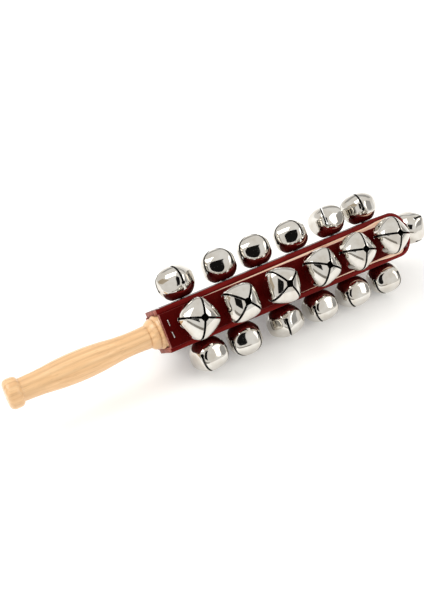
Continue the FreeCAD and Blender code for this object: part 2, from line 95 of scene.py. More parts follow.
# Heights of a bell are from the leather: the widest circle, the point that the form is
# drawn from, the base, the end of the petals' upright wall, and the pole.
EQUATOR, BELL_MIDDLE, BELL_BASE, SPRING_LINE, POLE = 11.6, 11.2, 0.42, 12.5, 21.55
BALL_RADIUS, HALF_FLAT, PETAL_BEND, PETAL_CROWN = 12.69, 11.2, 6.9, 34.0
SHEET_METAL, EDGE_SOFT, CREASE_SHARPNESS = 0.8, 0.14, 50.0
SLIT_HALF, SLIT_END, SLIT_HOLE = 0.68, 9.0, 1.15
POLE_HOLE_HALF, RIVET_HOLE = 2.25, 1.7
CUP_RINGS = (2.6, 3.6, 4.4, 5.0, 5.5, 6.0, 6.6)
# Degrees from the pole where the petal's rows begin to run straight, and over how many.
STRAIGHT_START, STRAIGHT_FADE = 62, 40


# --------------------------------------------------------------------- helpers

def stick_frame():
    """The stick's own frame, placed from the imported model."""
    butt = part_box("handle_core")[0]
    tip = next(j for j in frame["joints"] if j["name"] == "swivel_tip")
    place = Matrix.Translation((butt.x, tip["pos_m"][1], tip["pos_m"][2]))
    return place @ Matrix.Rotation(math.radians(45), 4, "X")


STICK = stick_frame()


def core_half(along):
    return CORE_HALF + CORE_SLOPE * (along - CORE_START)


def smooth_step(value):
    """0 up to 0, 1 from 1, and a smooth rise between."""
    value = np.clip(value, 0.0, 1.0)
    return value * value * (3 - 2 * value)


def sunk(along):
    """How deep a strap's leg is pressed into the wood at a distance from the butt."""
    return STRAP_SUNK * smooth_step((SUNK_END - np.asarray(along)) / SUNK_FADE)


def ripple(points, length, height, seed):
    """Slow waviness over points: a few sine waves of about that length."""
    rng = np.random.default_rng(seed)
    total = np.zeros(len(points))
    for _ in range(6):
        direction = rng.normal(size=3)
        direction /= np.linalg.norm(direction)
        wave = rng.uniform(0.7, 1.6) * length
        total += np.sin(points @ direction * (2 * math.pi / wave) + rng.uniform(0, 6.28))
    return total * (height / 3)


def mesh_object(name, points, faces, materials, indices=None):
    """Smooth-shaded mesh from points in millimetres of its own frame."""
    mesh = bpy.data.meshes.new(name)
    mesh.from_pydata((np.asarray(points) * MM).tolist(), [], [list(map(int, f)) for f in faces])
    for material in materials:
        mesh.materials.append(material)
    if indices is not None:
        mesh.polygons.foreach_set("material_index", np.asarray(indices, dtype=np.int32))
    mesh.polygons.foreach_set("use_smooth", [True] * len(mesh.polygons))
    mesh.update()
    piece = bpy.data.objects.new(name, mesh)
    bpy.context.scene.collection.objects.link(piece)
    return piece


def grid_faces(rows, columns, closed):
    """Quads over a grid of points stored row by row; closed joins the last column
    to the first."""
    faces = []
    for row in range(rows - 1):
        for column in range(columns if closed else columns - 1):
            beside = (column + 1) % columns
            faces.append((row * columns + column, row * columns + beside,
                          (row + 1) * columns + beside, (row + 1) * columns + column))
    return faces


# ------------------------------------------------------------------- materials

class Surface:
    """A material with its main shader, and short ways to add texture nodes."""

    def __init__(self, name, colour, roughness, metallic=0.0, coat=0.0):
        self.material = bpy.data.materials.new(name)
        self.material.use_nodes = True
        self.nodes = self.material.node_tree.nodes
        self.links = self.material.node_tree.links
        self.shader = self.nodes["Principled BSDF"]
        self.set("Base Color", (*colour, 1.0))
        self.set("Roughness", roughness)
        self.set("Metallic", metallic)
        self.set("Coat Weight", coat)
        self.material.diffuse_color = (*colour, 1.0)

    def set(self, socket, value):
        self.shader.inputs[socket].default_value = value

    def node(self, kind, settings=None, **inputs):
        made = self.nodes.new(kind)
        for name, value in (settings or {}).items():
            setattr(made, name, value)
        for name, value in inputs.items():
            socket = made.inputs[name.replace("_", " ")]
            if isinstance(value, bpy.types.NodeSocket):
                self.links.new(value, socket)
            else:
                socket.default_value = value
        return made

    def link(self, output, socket):
        self.links.new(output, self.shader.inputs[socket])

    def place(self, stretch):
        """Coordinates of the piece, per metre, stretched."""
        place = self.node("ShaderNodeTexCoord").outputs["Object"]
        return self.node("ShaderNodeMapping", Vector=place, Scale=stretch).outputs["Vector"]

    def noise(self, stretch, scale, detail=4.0, distortion=0.0):
        return self.node("ShaderNodeTexNoise", Vector=self.place(stretch), Scale=scale,
                         Detail=detail, Distortion=distortion).outputs["Fac"]

    def ramp(self, factor, *stops):
        """Colours or greys at places from 0 to 1."""
        made = self.node("ShaderNodeValToRGB", Fac=factor)
        elements = made.color_ramp.elements
        while len(elements) < len(stops):
            elements.new(0.5)
        for element, (place, colour) in zip(elements, stops):
            element.position = place
            element.color = (colour,) * 3 + (1.0,) if isinstance(colour, float) else (*colour, 1.0)
        return made.outputs["Color"]

    def multiply(self, first, second, share=1.0):
        made = self.node("ShaderNodeMix", {"data_type": "RGBA", "blend_type": "MULTIPLY"})
        made.inputs["Factor"].default_value = share
        self.links.new(first, made.inputs[6])
        self.links.new(second, made.inputs[7])
        return made.outputs[2]

    def bump(self, height, strength, distance, before=None):
        inputs = {"Height": height, "Strength": strength, "Distance": distance}
        if before is not None:
            inputs["Normal"] = before
        return self.node("ShaderNodeBump", **inputs).outputs["Normal"]


def make_wood():
    surface = Surface("turned_beech", (0.80, 0.50, 0.25), 0.38, coat=0.35)
    surface.set("Coat Roughness", 0.18)
    streaks = surface.noise((14.0, 420.0, 420.0), 1.0, 6.0, 0.4)
    clouds = surface.noise((9.0, 40.0, 40.0), 1.0, 3.0)
    pores = surface.noise((120.0, 2600.0, 2600.0), 1.0, 2.0)
    rings = surface.node("ShaderNodeTexWave", {"wave_type": "BANDS", "bands_direction": "Y"},
                         Vector=surface.place((7.0, 95.0, 60.0)), Scale=1.0, Distortion=5.0,
                         Detail=3.0, Detail_Scale=0.8).outputs["Fac"]
    colour = surface.ramp(streaks, (0.30, (0.70, 0.41, 0.19)), (0.55, (0.80, 0.50, 0.25)),
                          (0.75, (0.87, 0.58, 0.31)))
    colour = surface.multiply(colour, surface.ramp(rings, (0.0, 0.86), (0.6, 1.0)), 0.7)
    colour = surface.multiply(colour, surface.ramp(clouds, (0.3, 0.90), (0.7, 1.0)))
    colour = surface.multiply(colour, surface.ramp(pores, (0.30, 0.72), (0.42, 1.0)), 0.55)
    surface.link(colour, "Base Color")
    surface.link(surface.ramp(streaks, (0.2, 0.46), (0.8, 0.32)), "Roughness")
    normal = surface.bump(pores, 0.12, 0.0002)
    surface.link(surface.bump(streaks, 0.10, 0.0003, normal), "Normal")
    return surface.material


def make_leather():
    surface = Surface("burgundy_leather", (0.062, 0.0015, 0.0015), 0.42)
    surface.set("Specular IOR Level", 0.12)
    surface.set("Specular Tint", (1.0, 0.16, 0.12, 1.0))
    clouds = surface.noise((60.0, 60.0, 60.0), 1.0, 4.0)
    grain = surface.node("ShaderNodeTexVoronoi", {"feature": "SMOOTH_F1"},
                         Vector=surface.place((900.0, 900.0, 900.0)), Scale=1.0,
                         Smoothness=0.6).outputs["Distance"]
    creases = surface.noise((260.0, 260.0, 260.0), 1.0, 8.0, 0.8)
    colour = surface.ramp(clouds, (0.25, (0.042, 0.001, 0.001)), (0.6, (0.062, 0.0015, 0.0015)),
                          (0.85, (0.090, 0.002, 0.002)))
    colour = surface.multiply(colour, surface.ramp(creases, (0.35, 0.70), (0.55, 1.0)), 0.6)
    surface.link(colour, "Base Color")
    surface.link(surface.ramp(creases, (0.3, 0.46), (0.7, 0.26)), "Roughness")
    normal = surface.bump(grain, 0.22, 0.0003)
    surface.link(surface.bump(creases, 0.25, 0.0003, normal), "Normal")
    return surface.material


def make_cut_leather():
    surface = Surface("cut_leather_edge", (0.36, 0.10, 0.075), 0.75)
    fibres = surface.noise((700.0, 700.0, 1600.0), 1.0, 6.0)
    stain = surface.noise((130.0, 130.0, 130.0), 1.0, 3.0)
    colour = surface.ramp(fibres, (0.30, (0.16, 0.030, 0.024)), (0.50, (0.34, 0.090, 0.065)),
                          (0.72, (0.55, 0.25, 0.19)))
    colour = surface.multiply(colour, surface.ramp(stain, (0.35, 0.55), (0.6, 1.0)), 0.8)
    surface.link(colour, "Base Color")
    surface.link(surface.bump(fibres, 0.5, 0.0004), "Normal")
    return surface.material


def make_dyed_edge():
    surface = Surface("dyed_leather_edge", (0.150, 0.006, 0.006), 0.42)
    surface.set("Specular IOR Level", 0.20)
    surface.set("Specular Tint", (1.0, 0.2, 0.15, 1.0))
    layers = surface.noise((60.0, 500.0, 500.0), 1.0, 4.0)
    surface.link(surface.ramp(layers, (0.30, (0.095, 0.003, 0.003)), (0.55, (0.150, 0.006, 0.006)),
                              (0.85, (0.190, 0.014, 0.010))), "Base Color")
    surface.link(surface.bump(layers, 0.15, 0.0002), "Normal")
    return surface.material


def make_raw_wood():
    surface = Surface("bare_core_wood", (0.86, 0.62, 0.46), 0.62)
    surface.set("Specular IOR Level", 0.25)
    streaks = surface.noise((20.0, 600.0, 600.0), 1.0, 5.0, 0.3)
    rubbed = surface.noise((55.0, 120.0, 120.0), 1.0, 4.0)
    colour = surface.ramp(streaks, (0.30, (0.70, 0.45, 0.31)), (0.52, (0.88, 0.64, 0.48)),
                          (0.80, (0.95, 0.74, 0.58)))
    stained = surface.ramp(rubbed, (0.26, (0.55, 0.20, 0.16)), (0.40, (1.0, 1.0, 1.0)))
    surface.link(surface.multiply(colour, stained, 0.8), "Base Color")
    surface.link(surface.bump(streaks, 0.3, 0.0003), "Normal")
    return surface.material


def make_nickel():
    surface = Surface("nickel_plate", (0.68, 0.655, 0.61), 0.06, metallic=1.0)
    haze = surface.noise((140.0, 140.0, 140.0), 1.0, 5.0)
    scratches = surface.noise((260.0, 2600.0, 700.0), 1.0, 2.0, 0.2)
    colour = surface.ramp(haze, (0.30, (0.60, 0.56, 0.50)), (0.55, (0.68, 0.655, 0.61)),
                          (0.80, (0.74, 0.73, 0.70)))
    surface.link(colour, "Base Color")
    surface.link(surface.ramp(haze, (0.35, 0.04), (0.75, 0.10)), "Roughness")
    surface.link(surface.bump(scratches, 0.02, 0.00005), "Normal")
    return surface.material


def make_painted_inside_shade():
    """Painted shade for the bells' inside and the slits' cut edges: near black, standing in for the
    shade inside the closed bells.
    """
    surface = Surface("painted_shade_inside", (0.030, 0.028, 0.025), 0.55, metallic=0.6)
    shade_mottle = surface.noise((400.0, 400.0, 400.0), 1.0, 5.0)
    # Near-black painted shade, mottled a little at random.
    surface.link(surface.ramp(shade_mottle, (0.3, (0.012, 0.011, 0.010)), (0.7, (0.045, 0.042, 0.038))),
                 "Base Color")
    surface.link(surface.bump(shade_mottle, 0.2, 0.0002), "Normal")
    return surface.material


def make_steel(name, colour, roughness):
    surface = Surface(name, colour, roughness, metallic=1.0)
    marks = surface.noise((900.0, 900.0, 900.0), 1.0, 5.0)
    dark = tuple(0.6 * part for part in colour)
    surface.link(surface.ramp(marks, (0.3, dark), (0.6, colour)), "Base Color")
    surface.link(surface.ramp(marks, (0.3, roughness + 0.15), (0.7, roughness)), "Roughness")
    surface.link(surface.bump(marks, 0.15, 0.0002), "Normal")
    return surface.material


def make_floor_paper():
    surface = Surface("white_paper", (0.93, 0.93, 0.925), 0.85)
    surface.set("Emission Color", (1.0, 1.0, 1.0, 1.0))
    surface.set("Emission Strength", 0.14)
    fibres = surface.noise((120.0, 120.0, 120.0), 1.0, 5.0)
    surface.link(surface.ramp(fibres, (0.3, (0.925, 0.925, 0.92)), (0.7, (0.935, 0.935, 0.93))),
                 "Base Color")
    surface.link(surface.bump(fibres, 0.05, 0.0002), "Normal")
    return surface.material


WOOD = make_wood()
LEATHER = make_leather()
CUT_LEATHER = make_cut_leather()
DYED_EDGE = make_dyed_edge()
RAW_WOOD = make_raw_wood()
NICKEL = make_nickel()
# Near-black painted shade for the bells' inside and cut edges.
BELL_INSIDE_SHADE = make_painted_inside_shade()
STAPLE_STEEL = make_steel("bright_wire", (0.80, 0.79, 0.77), 0.22)
RIVET_STEEL = make_steel("rivet_steel_worn", (0.36, 0.35, 0.34), 0.40)
PELLET_STEEL = make_steel("tumbled_steel", (0.30, 0.29, 0.28), 0.45)


# --------------------------------------------------------------- wooden stick

def turned_rows():
    """Points along the turned outline: distance from the butt, radius."""
    rows = [(0.0, 0.3), (0.0, 2.5), (0.0, 5.0), (0.0, 6.3)]
    for (start, low, bend), (end, high, _) in zip(TURNED, TURNED[1:]):
        steps = max(4, int((end - start) / 0.9))
        middle = np.array([(start + end) / 2, (low + high) / 2])
        chord = np.array([end - start, high - low])
        length = np.linalg.norm(chord)
        away = np.array([-chord[1], chord[0]]) / length
        for step in range(steps):
            share = step / steps
            if bend == 0:
                rows.append((start + chord[0] * share, low + chord[1] * share))
                continue
            radius = abs(bend)
            rise = math.sqrt(radius ** 2 - length ** 2 / 4)
            side = 1 if bend > 0 else -1
            centre = middle + away * rise * side
            spread = math.asin(length / 2 / radius)
            angle = -spread + 2 * spread * share
            spoke = (chord / length) * math.sin(angle) - away * side * math.cos(angle)
            rows.append(tuple(centre + spoke * radius))
    return rows


def core_rows():
    """Rows of the square core: distance from the butt, half width, shoulder radius."""
    rows = []
    shoulder_end = CORE_START + SHOULDER_LENGTH
    places = np.concatenate([np.linspace(CORE_START, shoulder_end, 14),
                             np.arange(shoulder_end + 1, CORE_END - CORE_TIP_ROUND, 3.0)])
    for along in places:
        share = (along - CORE_START) / SHOULDER_LENGTH
        shoulder = TURNED[-1][1] + (SHOULDER_RADIUS - TURNED[-1][1]) * share
        rows.append((along, core_half(along) - sunk(along), shoulder if share <= 1 else 99.0))
    flat = core_half(CORE_END - CORE_TIP_ROUND) - CORE_TIP_ROUND
    for angle in np.linspace(0, math.pi / 2, 12):
        rows.append((CORE_END - CORE_TIP_ROUND * (1 - math.sin(angle)),
                     flat + CORE_TIP_ROUND * math.cos(angle), 99.0))
    return rows


def make_stick():
    """Handle and core: one piece of wood, round to the collar and square after it."""
    columns = 144
    share = np.linspace(-1, 1, columns // 4, endpoint=False)
    quarter = np.radians(45) * np.sin(share * math.pi / 2)
    angles = np.concatenate([quarter + math.pi / 2 * side for side in range(4)])
    across, up = np.cos(angles), np.sin(angles)
    square = 1 / (np.abs(across) ** CORE_SQUARENESS
                  + np.abs(up) ** CORE_SQUARENESS) ** (1 / CORE_SQUARENESS)
    points = []
    for along, radius in turned_rows():
        points.append(np.stack([np.full(columns, along), across * radius, up * radius], 1))
    for along, half, shoulder in core_rows():
        reach = (square * half) ** -SHOULDER_BLEND + shoulder ** -SHOULDER_BLEND
        reach = reach ** (-1 / SHOULDER_BLEND)
        points.append(np.stack([np.full(columns, along), across * reach, up * reach], 1))
    points.append(np.stack([np.full(columns, CORE_END), across * 0.3, up * 0.3], 1))
    rows = len(points)
    points = np.concatenate(points)
    points[:, 0] = np.clip(points[:, 0], 0.02, None)
    faces = [tuple(reversed(face)) for face in grid_faces(rows, columns, True)]
    bare = [int(points[face[0]][0] > CORE_START + SHOULDER_LENGTH - 1) for face in faces]
    faces.append(tuple(range(columns)))
    faces.append(tuple(reversed(range((rows - 1) * columns, rows * columns))))
    stick = mesh_object("turned_stick", points, faces, [WOOD, RAW_WOOD], bare + [0, 1])
    put_in_place(stick, STICK)
    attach(stick, "stick")
    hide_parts("handle_core")


# -------------------------------------------------------------- leather straps

def strap_path(inner_end):
    """Inner line of a strap from one cut end round the tip to the other: points
    (along, out) and the direction out of the leather at each."""
    slope = math.atan(CORE_SLOPE)
    out = np.array([-math.sin(slope), math.cos(slope)])
    centre = np.array([inner_end - STRAP_BEND, 0.0])
    centre[1] = core_half(centre[0]) - STRAP_BEND / math.cos(slope)
    touch = centre + out * STRAP_BEND
    points, outs = [], []
    for along in np.linspace(STRAP_START, touch[0], 170, endpoint=False):
        points.append((along, core_half(along)))
        outs.append(out)
    for angle in np.linspace(math.pi / 2 + slope, 0, 22):
        outs.append(np.array([math.cos(angle), math.sin(angle)]))
        points.append(centre + outs[-1] * STRAP_BEND)
    for height in np.linspace(centre[1], 0, 4)[1:-1]:
        points.append((inner_end, height))
        outs.append(np.array([1.0, 0.0]))
    points, outs = np.array(points), np.array(outs)
    mirror = np.array([1.0, -1.0])
    middle = np.array([[inner_end, 0.0]]), np.array([[1.0, 0.0]])
    return (np.concatenate([points, middle[0], (points * mirror)[::-1]]),
            np.concatenate([outs, middle[1], (outs * mirror)[::-1]]))


def strap_section(half):
    """Loop round a strap's cut: place across, share of the thickness, and whether the
    edge that follows is a cut edge."""
    soft = STRAP_SOFT_EDGE
    face = np.linspace(-(half - soft), half - soft, 15)
    loop = [(across, 1.0, False) for across in face[:-1]]
    for angle in np.linspace(0, math.pi / 2, 5):
        loop.append((half - soft + soft * math.sin(angle),
                     1 - (soft / STRAP_THICKNESS) * (1 - math.cos(angle)), angle > 0.7))
    loop += [(half, share, True) for share in (0.55, 0.3, 0.12)]
    loop += [(across, 0.015, True) for across in face[::-1]]
    loop += [(-half, share, True) for share in (0.12, 0.3, 0.55)]
    for angle in np.linspace(math.pi / 2, 0, 5)[:-1]:
        loop.append((-(half - soft) - soft * math.sin(angle),
                     1 - (soft / STRAP_THICKNESS) * (1 - math.cos(angle)), angle > 0.9))
    return loop


def rivets_on(rows):
    """Rivets of some rows in the stick's frame."""
    inverse = STICK.inverted()
    found = []
    for joint in frame["joints"]:
        if joint["name"].startswith("swivel_") and joint["name"].split("_")[1] in rows:
            found.append(np.array(inverse @ Vector(joint["pos_m"])) / MM)
    return found


def make_strap(name, node, inner_end, side_axis, rows, seed):
    """A strap lying in the plane of X and side_axis (1 for Y, 2 for Z)."""
    across_axis = 3 - side_axis
    path, outs = strap_path(inner_end)
    edges = STRAP_EDGES[node]
    section = strap_section((edges[1] - edges[0]) / 2)
    across = np.array([part[0] for part in section]) + (edges[0] + edges[1]) / 2
    share = np.array([part[1] for part in section])
    count, columns = len(path), len(section)
    points = np.zeros((count, columns, 3))
    lift = share[None, :] * STRAP_THICKNESS - sunk(path[:, 0])[:, None] * (1 - share[None, :])
    for axis, part in ((0, 0), (side_axis, 1)):
        points[:, :, axis] = path[:, None, part] + outs[:, None, part] * lift
    points[:, :, across_axis] = across[None, :]
    flat = points.reshape(-1, 3)
    normals = np.zeros_like(flat)
    normals[:, 0] = np.repeat(outs[:, 0], columns)
    normals[:, side_axis] = np.repeat(outs[:, 1], columns)
    top = np.tile(smooth_step((share - 0.5) * 2.2), count)
    sink = 0.05 + np.abs(ripple(flat, 26.0, 0.05, seed)) + np.abs(ripple(flat, 9.0, 0.02, seed + 1))
    for rivet in rivets_on(rows):
        leg = np.sign(rivet[side_axis])
        away = np.hypot(flat[:, 0] - rivet[0], flat[:, across_axis] - rivet[across_axis])
        near = np.exp(-(away / RIVET_DENT[1]) ** 2)
        sink += RIVET_DENT[0] * near * (flat[:, side_axis] * leg > 0)
    for end in (-1, 1):
        for staple in (-1, 1):
            middle = staple * STAPLE_SPACING / 2
            beside = np.maximum(np.abs(flat[:, across_axis] - middle) - STAPLE_CROWN / 2, 0)
            away = np.hypot(flat[:, 0] - STAPLE_PLACE, beside)
            near = np.exp(-(away / STAPLE_DENT[1]) ** 2)
            sink += STAPLE_DENT[0] * near * (flat[:, side_axis] * end > 0)
    flat -= normals * (sink * top)[:, None]
    if node == "strap_front_back":
        pare(flat, inner_end)
    edge = ripple(flat, 14.0, 0.05, seed + 2)
    flat[:, across_axis] -= np.sign(flat[:, across_axis]) * np.abs(edge)
    faces = [tuple(reversed(face)) for face in grid_faces(count, columns, True)]
    cut = [2 if section[column][2] else 0 for _ in range(count - 1) for column in range(columns)]
    faces += [tuple(range(columns)), tuple(reversed(range((count - 1) * columns, count * columns)))]
    strap = mesh_object(name, flat, faces, [LEATHER, CUT_LEATHER, DYED_EDGE], cut + [1, 1])
    turn_outwards(strap)
    put_in_place(strap, STICK)
    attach(strap, "stick")
    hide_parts(node)


def pare(flat, inner_end):
    """Thin the inner strap's edges where the outer strap bends over them."""
    bend = CORE_TIP_ROUND - 0.08
    end = inner_end + STRAP_THICKNESS
    centre_x = end - bend
    centre_y = core_half(centre_x) - bend
    beyond_x = flat[:, 0] - centre_x
    beyond_y = np.abs(flat[:, 1]) - centre_y
    reach = np.hypot(beyond_x, beyond_y)
    outside = (beyond_x > 0) & (beyond_y > 0) & (reach > bend)
    pull = np.where(outside, bend / np.maximum(reach, 1e-6), 1.0)
    flat[:, 0] = np.where(outside, centre_x + beyond_x * pull, flat[:, 0])


def put_in_place(piece, place):
    """Move the piece's own points, so that its box is exact."""
    piece.data.transform(place)
    piece.data.update()


def turn_outwards(piece):
    mesh = bmesh.new()
    mesh.from_mesh(piece.data)
    bmesh.ops.recalc_face_normals(mesh, faces=mesh.faces)
    mesh.to_mesh(piece.data)
    mesh.free()


def make_staples():
    """Two wire staples through each of the four cut ends, as one piece."""
    wire = STAPLE_WIRE / 2
    corner = STAPLE_CORNER
    path = [(-STAPLE_CROWN / 2 + wire, -STAPLE_LEG)]
    for side in (-1, 1):
        turn = np.linspace(0, math.pi / 2, 6)
        if side > 0:
            turn = turn[::-1]
        for angle in turn:
            path.append((side * (STAPLE_CROWN / 2 - wire - corner + corner * math.cos(angle)),
                         -corner + corner * math.sin(angle)))
    path.append((STAPLE_CROWN / 2 - wire, -STAPLE_LEG))
    path = np.array(path)
    along = np.gradient(path, axis=0)
    along /= np.linalg.norm(along, axis=1)[:, None]
    sides = 12
    ring = np.linspace(0, 2 * math.pi, sides, endpoint=False)
    points, faces = [], []
    crown_height = core_half(STAPLE_PLACE) + STRAP_THICKNESS + STAPLE_PROUD - wire
    for leg in range(4):
        turn = Matrix.Rotation(math.pi / 2 * leg, 4, "X")
        for place in (-1, 1):
            lean = RNG.uniform(-0.10, 0.10)
            drop = RNG.uniform(0.0, 0.08)
            slip = RNG.uniform(-0.25, 0.25)
            first = len(points)
            for (across, height), (step, rise) in zip(path, along):
                for angle in ring:
                    out = math.cos(angle) * wire
                    spot = Vector((STAPLE_PLACE + slip + math.sin(angle) * wire + across * lean,
                                   place * STAPLE_SPACING / 2 + across - rise * out,
                                   crown_height + height - drop + step * out))
                    points.append(turn @ spot)
            faces += [tuple(first + corner_index for corner_index in face)
                      for face in grid_faces(len(path), sides, True)]
    staples = mesh_object("wire_staples", [tuple(point) for point in points], faces, [STAPLE_STEEL])
    turn_outwards(staples)
    put_in_place(staples, STICK)
    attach(staples, "stick")
    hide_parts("staples")


# ----------------------------------------------------------------------- bells

def arch_reach():
    """Distance from the bell's middle to the arch of two opposite petals, for each
    angle from the pole down to the level of the middle."""
    reach, rise = HALF_FLAT - PETAL_BEND, POLE - SPRING_LINE
    crown = (reach ** 2 + rise ** 2 - PETAL_BEND ** 2) / (2 * (rise - PETAL_BEND))
    crown_centre = POLE - crown
    meet = math.atan2(SPRING_LINE - crown_centre, reach)
    top = np.linspace(math.pi / 2, meet, 300)
    shoulder = np.linspace(meet, 0, 300)
    wall = np.linspace(SPRING_LINE, BELL_MIDDLE, 20)
    out = np.concatenate([crown * np.cos(top), reach + PETAL_BEND * np.cos(shoulder),
                          np.full(20, HALF_FLAT)])
    height = np.concatenate([crown_centre + crown * np.sin(top),
                             SPRING_LINE + PETAL_BEND * np.sin(shoulder), wall]) - BELL_MIDDLE
    return np.arctan2(out, height), np.hypot(out, height)


ARCH_ANGLES, ARCH_REACH = arch_reach()


def arch_distance(beside, crossing, height):
    """Distance along unit directions to the arch whose petals face beside; the
    petals bulge a little crosswise."""
    beside = np.abs(beside)
    angle = np.arctan2(beside, height)
    level = np.hypot(beside, height)
    reach = np.where(angle < math.pi / 2, np.interp(angle, ARCH_ANGLES, ARCH_REACH),
                     HALF_FLAT / np.maximum(np.sin(angle), 1e-3))
    spread = np.sqrt(level ** 2 + 2 * reach * crossing ** 2 / PETAL_CROWN)
    return 2 * reach / (level + spread)


def bell_distance(directions):
    """Distance from the bell's middle to its outside, along unit directions."""
    x, y, z = directions.T
    rise = EQUATOR - BELL_MIDDLE
    ball = z * rise + np.sqrt((z * rise) ** 2 + BALL_RADIUS ** 2 - rise ** 2)
    base = np.where(z < -1e-3, (BELL_MIDDLE - BELL_BASE) / np.maximum(-z, 1e-3), 1e3)
    parts = np.stack([ball, arch_distance(x, y, z), arch_distance(y, x, z), base])
    return np.sum(parts ** -CREASE_SHARPNESS, axis=0) ** (-1 / CREASE_SHARPNESS)


def bell_points(azimuth, polar):
    """Points on the bell's outside; azimuth 0 faces the middle of a petal."""
    directions = np.stack([np.sin(polar) * np.cos(azimuth), np.sin(polar) * np.sin(azimuth),
                           np.cos(polar)], -1)
    distance = bell_distance(directions.reshape(-1, 3)).reshape(azimuth.shape)
    points = directions * distance[..., None]
    points[..., 2] += BELL_MIDDLE
    return points


def polar_at_height(height):
    """Angle from the pole where the bell's slit line reaches a height."""
    polar = 1.5
    for _ in range(12):
        point = bell_points(np.array([math.radians(45)]), np.array([polar]))[0]
        reach = math.hypot(math.hypot(point[0], point[1]), point[2] - BELL_MIDDLE)
        polar = math.acos(max(-1.0, min(1.0, (height - BELL_MIDDLE) / reach)))
    return polar


def petal_rows():
    """Rows of a petal from the rivet hole to the pole: angle from the pole, and half
    the width left open beside the petal."""
    rows = [(math.pi - math.atan(radius / (BELL_MIDDLE - BELL_BASE)), 0.0)
            for radius in (RIVET_HOLE, *CUP_RINGS)]
    low = rows[-1][0]
    for polar in np.linspace(low, polar_at_height(SLIT_END - SLIT_HOLE), 13)[1:-1]:
        rows.append((polar, 0.0))
    leave = math.pi - math.asin(SLIT_HALF / SLIT_HOLE)
    for angle in np.linspace(0, leave, 9):
        rows.append((polar_at_height(SLIT_END - SLIT_HOLE * math.cos(angle)),
                     SLIT_HOLE * math.sin(angle)))
    last = math.atan(POLE_HOLE_HALF / (POLE - BELL_MIDDLE))
    for polar in np.linspace(rows[-1][0], last + EDGE_SOFT / (POLE - BELL_MIDDLE), 27)[1:]:
        rows.append((polar, SLIT_HALF))
    return rows + [(last, SLIT_HALF)]


def petal_grid(rows):
    """Outside points of the petal that faces X, row by row.  The columns crowd only
    beside the slits, where the first and last column are the cut edges."""
    share = np.linspace(-1, 1, 17)
    quarter = math.radians(45)
    grid = []
    for polar, open_half in rows:
        straight = smooth_step((math.radians(STRAIGHT_START) - polar) / math.radians(STRAIGHT_FADE))
        edge, out = quarter, BALL_RADIUS
        for _ in range(6):
            main = share * (quarter - EDGE_SOFT / out) - (quarter - edge) * share ** 5
            azimuth = np.concatenate([[-edge], main, [edge]])
            bent = np.full(len(azimuth), polar)
            if polar < 1.2:
                bent = np.arctan(math.tan(polar) * (1 + straight * (1 / np.cos(azimuth) - 1)))
            points = bell_points(azimuth, bent)
            out = math.hypot(*points[-1, :2])
            edge = quarter - math.asin(open_half / out)
        grid.append(points)
    return np.array(grid)


def exact_normals(mesh):
    """Shade the plated outside by the true surface, so that reflections stay clean."""
    points = np.array([vertex.co for vertex in mesh.vertices]) / MM
    spokes = points - np.array([0, 0, BELL_MIDDLE])
    spokes /= np.linalg.norm(spokes, axis=1)[:, None]
    side = np.cross(spokes, [0.3, 0.2, 0.9])
    side /= np.linalg.norm(side, axis=1)[:, None]
    other = np.cross(spokes, side)
    step, tolerance = 0.004, 0.02
    slopes = []
    for tangent in (side, other):
        ends = []
        for sign in (-1, 1):
            turned = spokes + tangent * step * sign
            turned /= np.linalg.norm(turned, axis=1)[:, None]
            ends.append(turned * bell_distance(turned)[:, None])
        slopes.append(ends[1] - ends[0])
    normals = np.cross(slopes[0], slopes[1])
    normals *= np.sign(np.sum(normals * spokes, axis=1))[:, None]
    normals /= np.linalg.norm(normals, axis=1)[:, None]
    level = np.linalg.norm(points - np.array([0, 0, BELL_MIDDLE]), axis=1)
    on_outside = np.abs(level - bell_distance(spokes)) < tolerance
    corner_normals = np.zeros((len(mesh.loops), 3))
    for face in mesh.polygons:
        if face.material_index == 0:
            for corner in face.loop_indices:
                vertex = mesh.loops[corner].vertex_index
                if on_outside[vertex]:
                    corner_normals[corner] = normals[vertex]
    mesh.normals_split_custom_set(corner_normals.tolist())


def make_bell_mesh():
    """One bell, standing on its rivet: four petals over a round cup, with crossed
    slits, of sheet metal with softened edges."""
    rows = petal_rows()
    outside = petal_grid(rows)
    middle = np.array([0, 0, BELL_MIDDLE])
    spokes = outside - middle
    reach = np.linalg.norm(spokes, axis=2, keepdims=True)
    inside = middle + spokes * (1 - SHEET_METAL / reach)
    slit_start = next(row for row, (_, open_half) in enumerate(rows) if open_half > 0) - 1
    softened = np.zeros(outside.shape[:2], dtype=bool)
    softened[slit_start + 1:, (0, -1)] = True
    softened[-1] = True
    outside = np.where(softened[..., None], middle + spokes * (1 - 0.8 * EDGE_SOFT / reach), outside)
    count, columns = outside.shape[:2]
    total = count * columns

    petal = grid_faces(count, columns, False)
    plated = len(petal)
    petal += [tuple(total + index for index in reversed(face)) for face in petal]
    for row in range(slit_start, count - 1):
        for column in (0, columns - 1):
            here, above = row * columns + column, (row + 1) * columns + column
            petal.append((here, above, total + above, total + here))
    for row in (0, count - 1):
        for column in range(columns - 1):
            here = row * columns + column
            petal.append((here, here + 1, total + here + 1, total + here))

    points, faces = [], []
    for quarter in range(4):
        turn = np.array(Matrix.Rotation(math.pi / 2 * quarter, 3, "Z"))
        first = 2 * total * quarter
        points += [outside.reshape(-1, 3) @ turn.T, inside.reshape(-1, 3) @ turn.T]
        faces += [tuple(first + index for index in face) for face in petal]
    # The inside and the slits' cut edges take the painted inside shade, so the slits show black.
    dark = ([0] * plated + [1] * (len(petal) - plated)) * 4
    pattern = mesh_object("bell_pattern", np.concatenate(points), faces, [NICKEL, BELL_INSIDE_SHADE], dark)
    mesh = bmesh.new()
    mesh.from_mesh(pattern.data)
    bmesh.ops.remove_doubles(mesh, verts=mesh.verts, dist=0.005 * MM)
    bmesh.ops.recalc_face_normals(mesh, faces=mesh.faces)
    mesh.to_mesh(pattern.data)
    mesh.free()
    mesh = pattern.data
    bpy.data.objects.remove(pattern)
    exact_normals(mesh)
    return mesh


